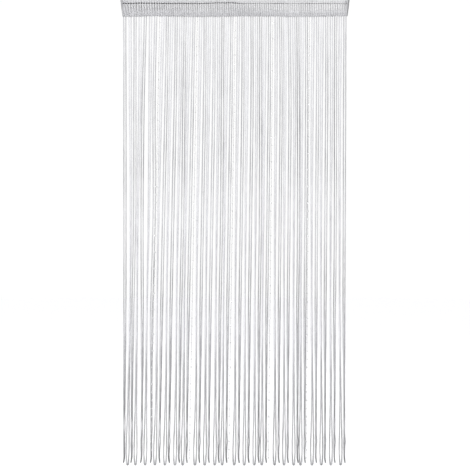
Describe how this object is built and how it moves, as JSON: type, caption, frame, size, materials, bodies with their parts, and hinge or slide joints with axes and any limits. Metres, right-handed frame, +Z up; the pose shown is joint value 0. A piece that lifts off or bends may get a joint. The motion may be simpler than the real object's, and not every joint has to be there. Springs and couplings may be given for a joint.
{
  "type": "string door curtain",
  "caption": "Doorway curtain of looped strings and thin beaded threads hanging from a flat knitted heading band with an open rod pocket.",
  "frame": {"origin": "middle of the heading's top edge, where the curtain is held", "axes": "+Z up, X along the curtain's width, -Y towards the viewer of its front"},
  "size_m": [0.985, 0.0217, 1.9998],
  "materials": {
    "heading_knit": "ribbed knit with inlaid string ends, soft sheen",
    "string_yarn": "fine flat chainette, satin sheen",
    "bead_clear": "clear faceted bead on a fine clear thread"
  },
  "bodies": {
    "root": {"heading_band": "heading_knit", "string_fringe": "string_yarn"}
  },
  "joints": []
}
